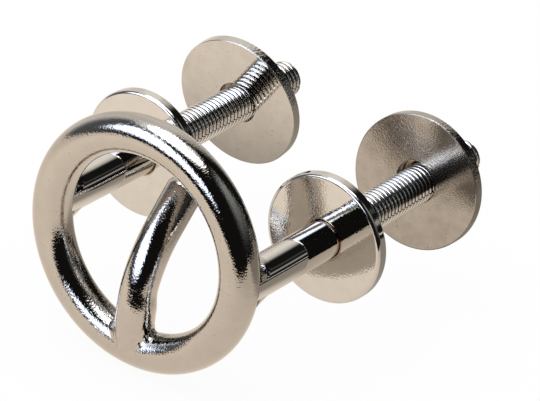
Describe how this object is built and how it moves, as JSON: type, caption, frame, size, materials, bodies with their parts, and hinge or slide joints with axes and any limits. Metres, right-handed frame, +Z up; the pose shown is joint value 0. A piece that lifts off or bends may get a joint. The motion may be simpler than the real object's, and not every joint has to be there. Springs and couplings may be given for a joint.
{
  "type": "water ski hook",
  "caption": "Stainless steel towing eye for a boat's transom: a round-bar ring with a bent tongue inside, on threaded studs with washers and nuts.",
  "frame": {"origin": "midway between the two studs, on the faces of the inner washers that lie on the transom", "axes": "+Z up, +Y into the boat along the studs, +X to the right seen from behind the boat; the ring stands across the boat at -Y"},
  "size_m": [0.093, 0.1029, 0.067],
  "materials": {
    "polished_steel": "mirror polished stainless steel",
    "weld_metal": "polished weld metal, a little uneven",
    "polished_washer": "mirror polished stainless steel",
    "satin_washer": "satin stainless steel",
    "nut_steel": "bright turned stainless steel"
  },
  "bodies": {
    "root": {"ring": "polished_steel", "tongue": "polished_steel", "tongue_weld": "weld_metal", "left_stud": "polished_steel", "right_stud": "polished_steel", "left_stud_weld": "weld_metal", "right_stud_weld": "weld_metal", "left_inner_washer": "polished_washer", "right_inner_washer": "polished_washer", "left_outer_washer": "satin_washer", "right_outer_washer": "satin_washer", "left_nut": "nut_steel", "right_nut": "nut_steel"}
  },
  "joints": []
}
